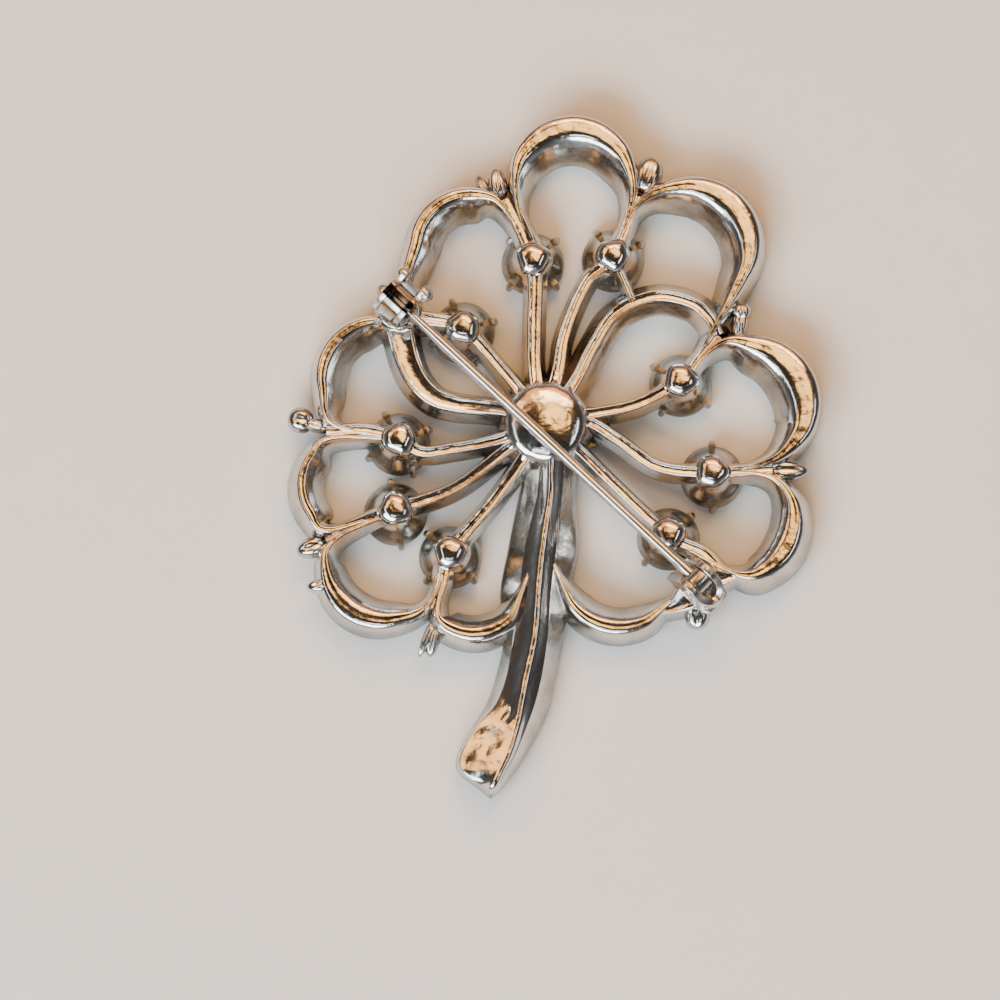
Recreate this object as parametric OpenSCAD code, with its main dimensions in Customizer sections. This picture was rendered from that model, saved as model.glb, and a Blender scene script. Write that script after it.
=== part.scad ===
// Tree brooch, drawn lying face down: +Z is the back of the brooch, +Y the top
// of the tree, and the stones' tables lie at z = 0. Sizes are in millimetres.

/* [Casting] */
// Width of the whole brooch, from the left scallops to the right ones
brooch_width = 46.6; // [42:0.2:56]
// Height of the crest of the scalloped rims
crest_z = 4.0; // [3.6:0.1:4.4]
// Height of the front edge of the rims, above the stones' tables
front_z = 0.7; // [0.4:0.1:1.0]
// Depth of the groove along the back of every rim and branch
groove = 0.25; // [0.1:0.05:0.4]
// Height of the top of the hub's dome
hub_z = 5.0; // [4.6:0.1:5.4]

/* [Stones] */
// Diameter of a stone
stone_d = 5.0; // [4.6:0.1:5.2]
// Depth of a stone, from its table to its point
stone_depth = 3.1; // [2.9:0.1:3.2]
// Gap between a stone and its cup
seat_gap = 0.06; // [0.04:0.01:0.1]

/* [Pin and joint] */
// Diameter of the pin's wire
pin_d = 0.95; // [0.8:0.05:1.1]
// Height of the pin's axis
pin_z = 7.0; // [6.8:0.1:7.4]
// Diameter of the pin's knuckle
knuckle_d = 2.2; // [2.1:0.1:2.5]
// Width of the pin's knuckle
knuckle_w = 1.4; // [1.2:0.1:1.5]
// Diameter of the rivet
rivet_d = 0.9; // [0.8:0.05:1.0]
// Thickness of each ear of the joint
ear_t = 0.65; // [0.5:0.05:0.8]

/* [Catch] */
// Outer diameter of the catch's ring
ring_d = 4.0; // [3.8:0.1:4.2]
// Length of the catch's ring
ring_l = 1.6; // [1.4:0.1:1.8]
// Diameter of the hole that holds the pin
catch_bore_d = 1.3; // [1.2:0.05:1.4]
// Width of the slot that lets the pin in
catch_slot = 1.15; // [1.15:0.05:1.25]

/* [Hidden] */

// The plan below is drawn for a brooch this wide, and k takes it to size
drawn_width = 46.6;
k = brooch_width / drawn_width;
// The middle of the drawn outline, which becomes the origin
middle = [-0.03, 0.1];

// Necks between two scallops, counter-clockwise from the joint
NECK_D = [14.8, -10.8];
NECK_CD = [18.9, -1.4];
NECK_BC = [14.2, 10.4];
NECK_AB = [7.2, 22.8];
NECK_JA = [-4.1, 22.6];
NECK_IJ = [-13.8, 12.2];
NECK_HI = [-19.9, 1.9];
NECK_GH = [-20.0, -7.5];
NECK_FG = [-10.7, -13.9];
TRUNK_F = [-2.8, -12.0];
TRUNK_E = [0.4, -11.0];
NECK_E = [9.8, -13.5];

// Scallops: the neck each starts from and ends at, centre x and y, radius of
// the crest's outer edge, first and last angle of the arc, crest width at the
// first neck, in the middle and at the last neck, flank inside and outside
SCALLOPS = [
    [NECK_AB, NECK_JA, 1.6, 24.4, 5.6, 0, 182, 1.1, 2.3, 0.9, 1.7, 0.3],
    [NECK_BC, NECK_AB, 12.2, 18.7, 5.8, -50, 118, 0.9, 2.4, 1.1, 1.5, 0.6],
    [NECK_CD, NECK_BC, 17.2, 4.5, 5.9, -50, 108, 1.3, 2.8, 1.1, 1.5, 0.2],
    [NECK_D, NECK_CD, 16.4, -6.2, 5.25, -95, 40, 0.8, 2.0, 0.9, 1.2, 0.9],
    [TRUNK_E, NECK_E, 5.5, -10.9, 5.2, 195, 318, 0.8, 1.5, 1.0, 1.4, 0.6],
    [NECK_FG, TRUNK_F, -7.0, -12.2, 4.5, 216, 338, 1.0, 1.5, 0.9, 1.3, 0.6],
    [NECK_GH, NECK_FG, -15.3, -10.4, 5.2, 165, 306, 0.9, 2.0, 1.1, 1.3, 0.5],
    [NECK_HI, NECK_GH, -17.8, -2.9, 4.75, 128, 230, 0.8, 1.1, 1.1, 1.4, 0.8],
    [NECK_IJ, NECK_HI, -15.6, 6.8, 5.3, 84, 212, 0.9, 1.3, 0.9, 1.5, 0.5],
    [NECK_JA, NECK_IJ, -7.5, 18.3, 5.25, 66, 192, 1.1, 1.4, 1.3, 1.5, 0.5]
];

// Middle of the hub, and the radius of its dome
hub = [-0.8, 2.6];
hub_r = 3.9;

// Middles of the nine cups
CUPS = [
    [-8.0, 11.1], [-1.9, 17.2], [5.1, 17.5], [11.0, 6.4], [13.7, -1.7],
    [9.9, -7.2], [-13.9, -5.0], [-9.1, -8.8], [-13.6, 1.2]
];
// First claw's angle on each cup
CLAW_TURN = [20, 45, 30, 55, 0, 45, 10, 45, 25];

// Branches: the points that each one passes, then its crest width at the hub
// and at its far end, and the width of its flanks
BRANCHES = [
    [[[-3.0, 5.4], CUPS[0], [-11.0, 12.0], NECK_IJ], 0.95, 0.8, 0.5],
    [[[-1.8, 5.5], [-1.8, 11], CUPS[1], NECK_JA], 1.0, 1.4, 0.5],
    [[[0, 6], [0.9, 10.8], [2.8, 15.2], CUPS[2], NECK_AB], 1.05, 0.9, 0.5],
    [[[1.6, 5.8], [3.4, 9.6], [5.3, 12.4], [8.6, 13.9], [11.8, 13.4], [13.5, 12.0], NECK_BC],
        0.95, 1.0, 1.0],
    [[[3.0, 3.4], [7.4, 4.4], CUPS[3], [12.4, 8.2], NECK_BC], 0.9, 0.9, 0.5],
    [[CUPS[2], [6.8, 13.5]], 0.6, 0.6, 0.3],
    [[[3.0, 2.8], [5.6, 1.1], [9.0, -1.2], CUPS[4], NECK_CD], 0.85, 1.0, 0.5],
    [[[1.8, 0.7], [5.0, -2.6], CUPS[5], [13.0, -8.8], NECK_D], 0.8, 0.9, 0.5],
    [[[-2.3, 0.2], [-5.3, -4.1], CUPS[7], [-9.9, -11.5], NECK_FG], 0.9, 1.1, 0.5],
    [[[-3.8, 0.6], [-8.7, -3.1], CUPS[6], [-17.3, -6.3], NECK_GH], 0.9, 1.0, 0.5],
    [[[-4.4, 1.4], [-8.2, 0.5], [-11.5, 0.1], CUPS[8], [-16.4, 2.1], NECK_HI], 0.9, 0.9, 0.5],
    [[[-4.4, 3.9], [-9.0, 4.4], [-11.1, 5.4], [-12.7, 7.8], NECK_IJ], 0.9, 2.2, 0.7]
];

// Trunk: distance up the tree, then the x of its left front edge, left back
// edge, ridge, right back edge and right front edge
TRUNK = [
    [0.5, -2.2, -1.2, -0.2, 1.2, 1.9],
    [-4.0, -3.3, -1.6, -0.4, 0.6, 1.9],
    [-8.0, -4.1, -2.6, -1.0, 0.2, 2.1],
    [-12.0, -4.8, -3.1, -1.4, -0.3, 1.4],
    [-16.0, -4.5, -3.6, -1.7, -0.6, 0.8],
    [-19.5, -5.2, -4.2, -2.4, -1.1, 0.1],
    [-22.0, -6.1, -5.1, -2.9, -1.7, -0.4],
    [-24.0, -7.3, -6.7, -3.3, -2.4, -1.2],
    [-26.5, -8.6, -8.2, -4.0, -3.4, -2.6],
    [-28.0, -8.3, -8.0, -4.7, -4.2, -3.6],
    [-29.3, -6.6, -6.4, -5.3, -4.9, -4.6],
    [-30.1, -5.8, -5.7, -5.6, -5.5, -5.4]
];
ridge_rise = 0.3;
edge_drop = 0.5;

// Buds at the necks: x, y, angle they point at, length and width
BUDS = [
    [-5.0, 24.1, 100, 2.9, 1.9], [-6.3, 23.9, 115, 2.2, 1.4],
    [8.2, 24.9, 72, 3.4, 2.5], [16.2, 11.7, 82, 3.1, 1.6],
    [16.35, 12.65, 85, 1.8, 1.8], [20.35, -1.4, 0, 3.4, 2.1],
    [12.4, -14.0, 265, 2.9, 2.4], [-10.6, -16.3, 258, 3.0, 1.5],
    [-11.2, -16.3, 248, 3.4, 0.9], [-21.2, -8.2, 196, 2.7, 2.0],
    [-20.3, -11.7, 185, 2.0, 1.4], [-22.15, 3.1, 170, 2.4, 2.3],
    [-20.8, 2.6, 165, 2.4, 1.3], [-14.8, 14.3, 120, 2.0, 1.3]
];

// Pin: the middle of its pivot and the middle of the catch
pivot = [12.4, -11.9];
catch_at = [-13.6, 12.7];
pin_angle = atan2(catch_at.y - pivot.y, catch_at.x - pivot.x);
pin_reach = norm(catch_at - pivot) * k;

// How far a scallop runs into the neck where it ends
neck_overlap = 0.3;
pad_z = 4.3;
pad_r = 2.2;
running_gap = 0.05;
rivet_gap = 0.01;
round_fn = 48;

function mix(a, b, t) = a + (b - a) * t;

// A value that runs from a through b to c along a strip, as t goes from 0 to 1
function swell(a, b, c, t) = mix(a, c, t) + (b - (a + c) / 2) * sin(180 * t);

// The point that lies a little past p, seen from another point
function past(p, other, by) = p + by * (p - other) / norm(p - other);

// A smooth curve through the points p, with n steps between two of them
function span(a, b, c, d, t) =
    ((2 * b) + (c - a) * t + (2 * a - 5 * b + 4 * c - d) * t * t
        + (3 * b - a - 3 * c + d) * t * t * t) / 2;
function curve(p, n) = [
    for (i = [0:len(p) - 2], j = [0:i == len(p) - 2 ? n : n - 1])
        span(p[max(i - 1, 0)], p[i], p[i + 1], p[min(i + 2, len(p) - 1)], j / n)
];

// A closed skin over rings of points that all have the same number of points
module loft(rings) {
    m = len(rings[0]);
    last = len(rings) - 1;
    polyhedron(
        points = [for (r = rings) each r],
        faces = concat(
            [[for (j = [0:m - 1]) m - 1 - j]],
            [[for (j = [0:m - 1]) last * m + j]],
            [for (i = [0:last - 1], j = [0:m - 1])
                let (a = i * m + j, b = i * m + (j + 1) % m)
                    each [[a, b, a + m], [b, b + m, a + m]]]
        )
    );
}

// A bar with a grooved back and slanted flanks. Each row of the path holds x,
// y, crest width, left flank and right flank.
module bar(path, top, bottom, dip = 0) {
    last = len(path) - 1;
    loft([
        for (i = [0:last])
            let (
                p = path[i],
                a = path[max(i - 1, 0)],
                b = path[min(i + 1, last)],
                d = [b.x - a.x, b.y - a.y] / norm([b.x - a.x, b.y - a.y]),
                h = p[2] / 2
            )
                for (s = [concat(
                    dip > 0 ? [[0, top - dip * min(1, p[2])]] : [],
                    [
                        [h, top], [h + p[3], bottom + 0.5], [h + p[3] - 0.4, bottom],
                        [0.4 - h - p[4], bottom], [-h - p[4], bottom + 0.5], [-h, top]
                    ]
                )])
                    [for (q = s) [p.x - d.y * q.x, p.y + d.x * q.x, q.y]]
    ]);
}

// One scallop of the canopy's edge
module scallop(s, steps = 12) {
    centre = [s[2], s[3]];
    arc = [
        for (i = [0:steps])
            let (
                t = i / steps,
                a = mix(s[5], s[6], t),
                w = swell(s[7], s[8], s[9], t),
                p = centre + (s[4] - w / 2) * [cos(a), sin(a)]
            )
                [p.x, p.y, w, s[10], s[11]]
    ];
    a = past(s[0], [arc[0].x, arc[0].y], neck_overlap);
    b = past(s[1], [arc[steps].x, arc[steps].y], neck_overlap);
    bar(
        concat(
            [[a.x, a.y, s[7], s[10] / 2, s[11] / 2]], arc,
            [[b.x, b.y, s[9], s[10] / 2, s[11] / 2]]
        ),
        crest_z, front_z, groove
    );
}

// One branch, from the hub to the neck that it carries
module branch(b) {
    n = len(b[0]) - 1;
    end = past(b[0][n], b[0][n - 1], neck_overlap / 2);
    points = curve([for (i = [0:n]) i == n ? end : b[0][i]], 2);
    last = len(points) - 1;
    bar(
        [for (i = [0:last]) [points[i].x, points[i].y, mix(b[1], b[2], i / last), b[3], b[3]]],
        crest_z - 0.25, front_z + 0.6
    );
}

module trunk() {
    loft([
        for (r = TRUNK) [
            [r[1], r[0], front_z + 0.5], [r[2], r[0], crest_z - edge_drop],
            [r[3], r[0], crest_z + ridge_rise], [r[4], r[0], crest_z - edge_drop / 2],
            [r[5], r[0], front_z + 0.7], [r[5] - 0.3, r[0], front_z + 0.1],
            [r[1] + 0.3, r[0], front_z + 0.1]
        ]
    ]);
}

module hub_dome() {
    translate([hub.x, hub.y, 0])
        rotate_extrude($fn = 24)
            polygon([
                [0, front_z + 0.3], [2.6, front_z + 0.3], [3.2, front_z + 0.9],
                [hub_r, crest_z - 0.5], [hub_r - 0.3, crest_z + 0.1],
                [2.4, hub_z - 0.3], [1.0, hub_z], [0, hub_z]
            ]);
}

// A cup that holds a stone, with a small dome at its back
module cup() {
    rotate_extrude($fn = 16)
        polygon([
            [0, 4.6], [0.9, 4.45], [1.4, 3.95], [1.6, 3.2], [2.3, 1.95],
            [2.75, 1.15], [2.75, 0.75], [0, 0.75]
        ]);
}

// The room that a stone takes up in its cup
module seat() {
    girdle_r = stone_d / 2 + seat_gap;
    girdle_z = 1.0 + seat_gap;
    rotate_extrude($fn = 16)
        polygon([
            [0, -1], [girdle_r, -1], [girdle_r, girdle_z],
            [0, stone_depth + 2 * seat_gap]
        ]);
}

// A claw that rises beside the stone and bends over its edge
module claw() {
    rows = [[2.6, 1.7, 0.3], [2.9, 1.0, 0.27], [2.8, 0.5, 0.3], [2.6, 0.22, 0.12]];
    loft([
        for (r = rows)
            [for (c = [[1, 1], [-1, 1], [-1, -1], [1, -1]]) [r[0] + c.x * r[2], c.y * r[2], r[1]]]
    ]);
}

module at_cup(i) {
    translate([CUPS[i].x, CUPS[i].y, 0])
        children();
}

module bud(b) {
    translate([b[0], b[1], (crest_z + front_z) / 2 - 0.2])
        rotate(b[2])
            scale([b[3], b[4], 1.8])
                sphere(d = 1, $fn = 8);
}

// Flat places on the casting for the joint and the catch
module pads() {
    bar([
        [NECK_E.x, NECK_E.y, 1.4, 0.4, 0.6], [pivot.x, pivot.y, 3.4, 0.4, 0.4],
        [NECK_D.x, NECK_D.y, 1.2, 0.4, 0.6]
    ], pad_z, front_z + 0.4);
    translate([catch_at.x, catch_at.y, front_z + 0.8])
        cylinder(h = pad_z - front_z - 0.8, r1 = pad_r, r2 = pad_r - 0.3, $fn = 16);
}

// What is drawn in the plan above, moved to the origin and taken to size
module in_plan() {
    translate([-middle.x, -middle.y, 0] * k)
        children();
}

module casting() {
    in_plan()
        resize([brooch_width, 0, 0], auto = true)
            union() {
                difference() {
                    union() {
                        for (s = SCALLOPS)
                            scallop(s);
                        for (b = BRANCHES)
                            branch(b);
                        for (b = BUDS)
                            bud(b);
                        for (i = [0:len(CUPS) - 1])
                            at_cup(i)
                                cup();
                        trunk();
                        hub_dome();
                        pads();
                    }
                    for (i = [0:len(CUPS) - 1])
                        at_cup(i)
                            seat();
                }
                for (i = [0:len(CUPS) - 1])
                    at_cup(i)
                        for (a = [0:90:270])
                            rotate(CLAW_TURN[i] + a)
                                claw();
            }
}

// A round cut stone, its table down at z = 0 and its point up
module stone(i) {
    r = stone_d / 2;
    table_r = 0.55 * r;
    ring = function (radius, n, z, turn) [
        for (j = [0:n - 1]) [radius * cos(360 * j / n + turn), radius * sin(360 * j / n + turn), z]
    ];
    color("white")
        in_plan()
            translate([CUPS[i].x, CUPS[i].y, 0] * k)
                scale(k)
                    polyhedron(
                        points = concat(
                            ring(table_r, 8, 0, 0), ring(r, 16, 0.8, 0),
                            ring(r, 16, 0.95, 0), [[0, 0, stone_depth]]
                        ),
                        faces = concat(
                            [[for (j = [0:7]) j]],
                            [for (j = [0:7])
                                let (a = 8 + 2 * j, b = 8 + (2 * j + 1), c = 8 + (2 * j + 2) % 16)
                                    each [[j, a, b], [j, b, (j + 1) % 8], [(j + 1) % 8, b, c]]],
                            [for (j = [0:15]) [8 + j, 24 + j, 24 + (j + 1) % 16, 8 + (j + 1) % 16]],
                            [for (j = [0:15]) [24 + j, 40, 24 + (j + 1) % 16]]
                        )
                    );
}

// The joint and the catch are drawn along the pin: x runs from the pivot to
// the catch, and y to the left of it
module along_pin(x = 0) {
    in_plan()
        translate([pivot.x, pivot.y, 0] * k)
            rotate(pin_angle)
                translate([x, 0, pin_z])
                    children();
}

// A round bar across the pin, from one side to the other
module crossways(d, width) {
    rotate([90, 0, 0])
        cylinder(d = d, h = width, center = true, $fn = round_fn);
}

// A round bar along the pin
module lengthways(d, from, to) {
    translate([from, 0, 0])
        rotate([0, 90, 0])
            cylinder(d = d, h = to - from, $fn = round_fn);
}

slot_w = knuckle_w + 2 * running_gap;
joint_w = slot_w + 2 * ear_t;
joint_front = 2.4;
joint_back = 2.5;
ear_top = 1.4;
plate_top = pad_z * k + 0.5 - pin_z;
plate_bottom = pad_z * k - 0.4 - pin_z;

// Base plate with two ears, closed by a rounded wall behind the knuckle
module joint_fitting() {
    difference() {
        intersection() {
            translate([0, 0, plate_bottom])
                linear_extrude(height = ear_top - plate_bottom) {
                    translate([joint_w / 2 - joint_back, 0])
                        circle(d = joint_w, $fn = round_fn);
                    translate([joint_w / 2 - joint_back, -joint_w / 2])
                        square([joint_front + joint_back - joint_w / 2, joint_w]);
                }
            rotate([90, 0, 0])
                linear_extrude(height = joint_w, center = true) {
                    circle(r = ear_top, $fn = round_fn);
                    polygon([
                        [-joint_back, plate_bottom], [joint_front, plate_bottom],
                        [joint_front, plate_top + 0.4], [1.1, 0.8], [-1.1, 0.8],
                        [-joint_back, 0]
                    ]);
                }
        }
        translate([0, 0, plate_top])
            linear_extrude(height = ear_top + 2 - plate_top) {
                translate([-(joint_back - ear_t - slot_w / 2), 0])
                    circle(d = slot_w, $fn = round_fn);
                translate([-(joint_back - ear_t - slot_w / 2), -slot_w / 2])
                    square([joint_front + joint_back, slot_w]);
            }
        crossways(rivet_d + 2 * rivet_gap, joint_w + 1);
    }
}

rotor_d = ring_d - 0.9;
flange_d = rotor_d + 0.6;
flange_t = 0.6;
opening_half = 45;

// Base block with a ring that is open at the top
module catch_fitting() {
    base_w = 2.8;
    difference() {
        union() {
            lengthways(ring_d, -ring_l / 2, ring_l / 2);
            translate([-ring_l / 2, -base_w / 2, plate_bottom])
                cube([ring_l, base_w, -plate_bottom - rotor_d / 2]);
        }
        lengthways(rotor_d + 2 * running_gap, -ring_l, ring_l);
        rotate([90, 0, 90])
            linear_extrude(height = 2 * ring_l, center = true)
                polygon([
                    [0, 0], [ring_d, ring_d * tan(90 - opening_half)],
                    [-ring_d, ring_d * tan(90 - opening_half)]
                ]);
    }
}

module cast_frame() {
    color("silver") {
        casting();
        along_pin()
            joint_fitting();
        along_pin(pin_reach)
            catch_fitting();
    }
}

// Rivet with a head on each side of the joint
module joint_rivet() {
    head_d = 1.5;
    head_t = 0.25;
    color("silver")
        along_pin() {
            crossways(rivet_d, joint_w + 2 * (head_t + rivet_gap));
            for (side = [-1, 1])
                translate([0, side * (joint_w / 2 + rivet_gap + head_t / 2), 0])
                    crossways(head_d, head_t);
        }
}

// Pin: knuckle, thick root, round shaft and tapered point
module pin_stem() {
    root_d = pin_d + 0.3;
    root_end = 3.0;
    taper_from = pin_reach - 6;
    point_at = pin_reach + 2;
    color("gainsboro")
        along_pin()
            difference() {
                union() {
                    crossways(knuckle_d, knuckle_w);
                    lengthways(pin_d, 0, taper_from);
                    rotate([0, 90, 0])
                        cylinder(d1 = root_d, d2 = pin_d, h = root_end, $fn = round_fn);
                    translate([taper_from, 0, 0])
                        rotate([0, 90, 0])
                            cylinder(
                                d1 = pin_d, d2 = 0.2, h = point_at - taper_from,
                                $fn = round_fn
                            );
                }
                crossways(rivet_d + 2 * running_gap, knuckle_w + 1);
            }
}

// Collar that turns in the catch's ring, with a flange and a thumb tab at each
// end and a slot that stands open at the top
module catch_rotor() {
    tab_turn = 60;
    tab_r = 2.25;
    tab_w = 1.3;
    half = ring_l / 2 + running_gap;
    color("silver")
        along_pin(pin_reach)
            difference() {
                union() {
                    lengthways(rotor_d, -half, half);
                    for (side = [-1, 1])
                        translate([side * (half + flange_t / 2), 0, 0]) {
                            lengthways(flange_d, -flange_t / 2, flange_t / 2);
                            rotate([90 + tab_turn, 0, 0])
                                rotate([90, 0, 90])
                                    linear_extrude(height = flange_t, center = true) {
                                        translate([tab_r, 0])
                                            circle(d = tab_w, $fn = round_fn);
                                        translate([0, -tab_w / 2])
                                            square([tab_r, tab_w]);
                                    }
                        }
                }
                lengthways(catch_bore_d, -ring_l * 2, ring_l * 2);
                translate([-ring_l * 2, -catch_slot / 2, 0])
                    cube([ring_l * 4, catch_slot, ring_d]);
            }
}

cast_frame();
stone(0);  // stone_1
stone(1);  // stone_2
stone(2);  // stone_3
stone(3);  // stone_4
stone(4);  // stone_5
stone(5);  // stone_6
stone(6);  // stone_7
stone(7);  // stone_8
stone(8);  // stone_9
joint_rivet();
pin_stem();
catch_rotor();
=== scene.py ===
import math

import bpy
import numpy as np
from bpy.props import FloatProperty, FloatVectorProperty, PointerProperty
from bpy.types import Operator, Panel, PropertyGroup
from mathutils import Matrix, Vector


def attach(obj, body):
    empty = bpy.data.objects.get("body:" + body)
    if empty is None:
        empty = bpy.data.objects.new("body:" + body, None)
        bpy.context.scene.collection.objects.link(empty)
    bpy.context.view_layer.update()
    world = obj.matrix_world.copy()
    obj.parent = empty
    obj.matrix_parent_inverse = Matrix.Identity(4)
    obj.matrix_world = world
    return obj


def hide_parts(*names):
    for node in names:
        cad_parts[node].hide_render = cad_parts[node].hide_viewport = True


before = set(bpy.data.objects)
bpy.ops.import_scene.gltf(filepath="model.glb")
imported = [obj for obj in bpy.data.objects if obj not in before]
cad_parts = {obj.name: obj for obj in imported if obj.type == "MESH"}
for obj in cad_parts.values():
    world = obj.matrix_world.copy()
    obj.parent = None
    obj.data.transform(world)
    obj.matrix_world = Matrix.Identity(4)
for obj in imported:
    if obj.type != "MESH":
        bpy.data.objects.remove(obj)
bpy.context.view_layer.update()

bl_info = {
    "name": "Tree Brooch",
    "version": (1, 0, 0),
    "blender": (4, 5, 0),
    "location": "View3D > Sidebar > Brooch",
    "description": "A cast tree brooch seen from its back, with its pin and safety catch",
    "category": "Object",
}

MM = 0.001

# The body of the casting and of all that is fixed to it
BODY = "brooch"

# Middle of the drawn outline, in mm, which is the origin of the model. The
# brooch's tables below are in mm and degrees, in that outline's own plan.
MIDDLE = np.array([-0.03, 0.1])

# Middles of the nine cups, and the angle of the first of the four claws on each
CUPS = np.array([
    [-8.0, 11.1], [-1.9, 17.2], [5.1, 17.5], [11.0, 6.4], [13.7, -1.7],
    [9.9, -7.2], [-13.9, -5.0], [-9.1, -8.8], [-13.6, 1.2],
])
CLAW_TURN = [20, 45, 30, 55, 0, 45, 10, 45, 25]

# The cone that a branch's underside lies on over a cup: the height of its top,
# its slope, and how far it reaches from the cup's middle
CONE_TOP = 3.2
CONE_SLOPE = 0.84
CONE_REACH = 3.2

# Necks between the scallops: where each one is, where its two rims run on to,
# and how far from its middle line each rim lies
NECKS = {
    "D": ((14.8, -10.8), (10.6, -8.0), 0.35),
    "CD": ((18.9, -1.4), (14.7, -1.6), 0.45),
    "BC": ((14.2, 10.4), (11.7, 7.3), 0.5),
    "AB": ((7.2, 22.8), (5.6, 18.6), 0.2),
    "JA": ((-4.1, 22.6), (-2.4, 18.4), 0.6),
    "IJ": ((-13.8, 12.2), (-9.3, 11.4), 0.5),
    "HI": ((-19.9, 1.9), (-14.9, 1.4), 0.45),
    "GH": ((-20.0, -7.5), (-15.1, -5.5), 0.35),
    "FG": ((-10.7, -13.9), (-9.4, -10.0), 0.35),
    "trunk F": ((-2.8, -12.0), (-2.3, -10.6), 0.0),
    "trunk E": ((0.4, -11.0), (-0.1, -9.8), 0.0),
    "E": ((9.8, -13.5), (11.0, -12.6), 0.2),
}

# Scallops: first and last neck, centre x and y, radius of the crest's outer
# edge, first and last angle, crest width at the first neck, in the middle and
# at the last neck, flank inside and outside
SCALLOPS = [
    ("AB", "JA", 1.6, 24.4, 5.6, 0, 182, 1.1, 2.3, 0.9, 1.7, 0.3),
    ("BC", "AB", 12.2, 18.7, 5.8, -50, 118, 0.9, 2.4, 1.1, 1.5, 0.6),
    ("CD", "BC", 17.2, 4.5, 5.9, -50, 108, 1.3, 2.8, 1.1, 1.5, 0.2),
    ("D", "CD", 16.4, -6.2, 5.25, -95, 40, 0.8, 2.0, 0.9, 1.2, 0.9),
    ("trunk E", "E", 5.5, -10.9, 5.2, 195, 318, 0.8, 1.5, 1.0, 1.4, 0.6),
    ("FG", "trunk F", -7.0, -12.2, 4.5, 216, 338, 1.0, 1.5, 0.9, 1.3, 0.6),
    ("GH", "FG", -15.3, -10.4, 5.2, 165, 306, 0.9, 2.0, 1.1, 1.3, 0.5),
    ("HI", "GH", -17.8, -2.9, 4.75, 128, 230, 0.8, 1.1, 1.1, 1.4, 0.8),
    ("IJ", "HI", -15.6, 6.8, 5.3, 84, 212, 0.9, 1.3, 0.9, 1.5, 0.5),
    ("JA", "IJ", -7.5, 18.3, 5.25, 66, 192, 1.1, 1.4, 1.3, 1.5, 0.5),
]

# The hub: its middle, how far from it the branches still swell and rise, how
# much wider and higher they are at it, and the least radius of its edge
HUB = np.array([-0.8, 2.6])
HUB_FLARE = 3.9
HUB_SWELL = 0.2
HUB_RISE = 0.8
HUB_EDGE = 4.1

# How far the branches' crests lie below the rims'
BRANCH_DROP = 0.2

# Branches: the points that each one passes, its crest width at the hub and at
# its far end, and the width of its flanks
BRANCHES = [
    ([(-2.2, 4.4), (-4.6, 7.4), (-8.0, 11.1), (-11.0, 12.0), (-13.8, 12.2)], 0.95, 0.8, 0.5),
    ([(-1.4, 4.4), (-1.8, 8.0), (-1.8, 11.0), (-1.9, 17.2), (-4.1, 22.6)], 1.0, 1.4, 0.5),
    ([(-0.4, 4.6), (0.3, 7.4), (0.9, 10.8), (2.8, 15.2), (5.1, 17.5), (7.2, 22.8)], 1.05, 0.9, 0.5),
    ([(0.4, 4.2), (1.9, 6.6), (3.4, 9.6), (5.3, 12.4), (8.6, 13.9), (11.8, 13.4), (13.5, 12.0),
      (14.2, 10.4)], 0.95, 1.0, 1.0),
    ([(1.2, 3.1), (4.2, 3.6), (7.4, 4.4), (11.0, 6.4), (12.4, 8.2), (14.2, 10.4)], 0.9, 0.9, 0.5),
    ([(5.1, 17.5), (6.0, 15.4), (6.8, 13.5)], 0.6, 0.6, 0.3),
    ([(1.0, 2.9), (3.2, 2.6), (5.6, 1.1), (9.0, -1.2), (13.7, -1.7), (18.9, -1.4)], 0.85, 1.0, 0.5),
    ([(0.4, 1.6), (2.4, 0.0), (5.0, -2.6), (9.9, -7.2), (13.0, -8.8), (14.8, -10.8)], 0.8, 0.9, 0.5),
    ([(-1.4, 1.4), (-3.0, -0.9), (-5.3, -4.1), (-9.1, -8.8), (-9.9, -11.5), (-10.7, -13.9)], 0.9, 1.1,
     0.5),
    ([(-2.0, 1.6), (-4.4, 0.1), (-8.7, -3.1), (-13.9, -5.0), (-17.3, -6.3), (-20.0, -7.5)], 0.9, 1.0,
     0.5),
    ([(-2.6, 1.9), (-5.2, 1.1), (-8.2, 0.5), (-11.5, 0.1), (-13.6, 1.2), (-16.4, 2.1), (-19.9, 1.9)],
     0.9, 0.9, 0.5),
    ([(-2.6, 3.4), (-5.4, 4.0), (-9.0, 4.4), (-11.1, 5.4), (-12.7, 7.8), (-13.8, 12.2)], 0.9, 2.2, 0.7),
]

# Trunk: distance up the tree, then the x of its left front edge, left back
# edge, ridge, right back edge and right front edge, and the height of its ridge
TRUNK = [
    (2.0, -2.0, -1.1, -0.3, 0.9, 1.6, 4.4), (-0.5, -2.5, -1.3, -0.3, 0.9, 1.9, 4.4),
    (-4.0, -3.3, -1.6, -0.4, 0.6, 1.9, 4.3), (-8.0, -4.1, -2.6, -1.0, 0.2, 2.1, 4.3),
    (-12.0, -4.8, -3.1, -1.4, -0.3, 1.4, 4.3), (-16.0, -4.5, -3.6, -1.7, -0.6, 0.8, 4.3),
    (-19.5, -5.2, -4.2, -2.4, -1.1, 0.1, 4.3), (-22.0, -6.1, -5.1, -2.9, -1.7, -0.4, 4.3),
    (-24.0, -7.3, -6.7, -3.3, -2.4, -1.2, 4.3), (-26.5, -8.6, -8.2, -4.0, -3.4, -2.6, 4.35),
    (-28.0, -8.3, -8.0, -4.7, -4.2, -3.6, 4.35), (-29.3, -6.6, -6.4, -5.3, -4.9, -4.6, 4.3),
    (-30.0, -5.8, -5.7, -5.6, -5.5, -5.4, 3.6),
]

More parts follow.
